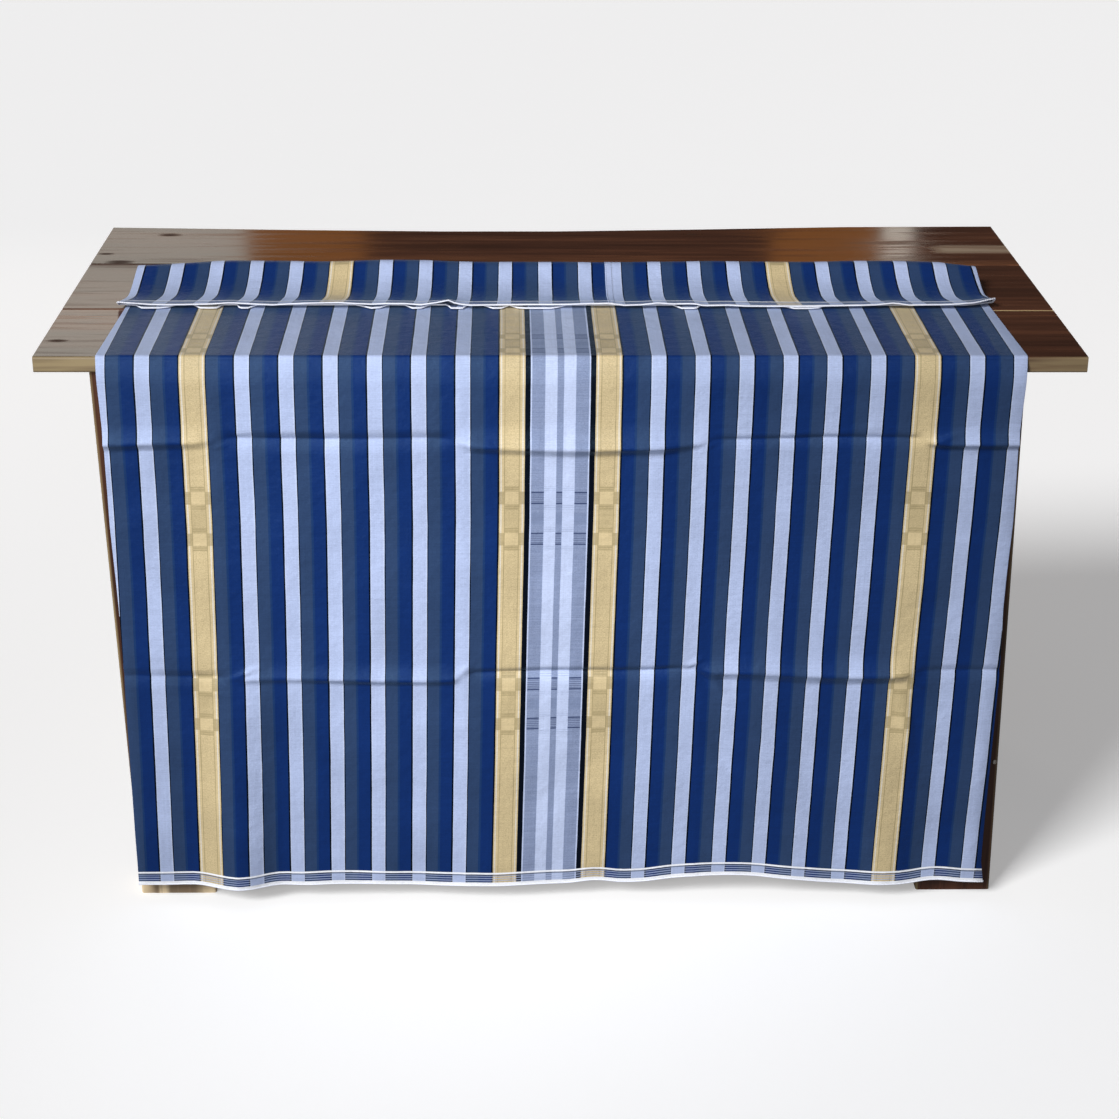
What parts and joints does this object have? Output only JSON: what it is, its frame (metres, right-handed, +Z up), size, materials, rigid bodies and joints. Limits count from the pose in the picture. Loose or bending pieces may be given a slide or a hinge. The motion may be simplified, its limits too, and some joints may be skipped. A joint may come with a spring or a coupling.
{
  "type": "sarong on a wooden table",
  "caption": "Striped cotton tube sarong laid flat over a plain plank table, hanging down its front, with its upper end turned back in a soft raised fold.",
  "frame": {"origin": "on the floor, under the middle of the table and cloth together", "axes": "+X to the viewer's right along the table's length, +Y away from the viewer, +Z up; the sarong hangs on the -Y side"},
  "size_m": [1.22, 0.6184, 0.7489],
  "materials": {
    "striped_cotton": "plain-woven cotton in royal blue and slate with pale lavender stripes, fawn bands and a pale centre panel",
    "table_wood": "glossy red-brown varnish"
  },
  "bodies": {
    "root": {"sarong_tube": "striped_cotton", "joining_seam": "striped_cotton", "top_plank_front": "table_wood", "top_plank_middle": "table_wood", "top_plank_back": "table_wood", "leg_front_left": "table_wood", "leg_front_right": "table_wood", "leg_back_left": "table_wood", "leg_back_right": "table_wood", "apron_front": "table_wood", "apron_back": "table_wood", "apron_left": "table_wood", "apron_right": "table_wood", "stretcher_left": "table_wood", "stretcher_right": "table_wood"}
  },
  "joints": []
}
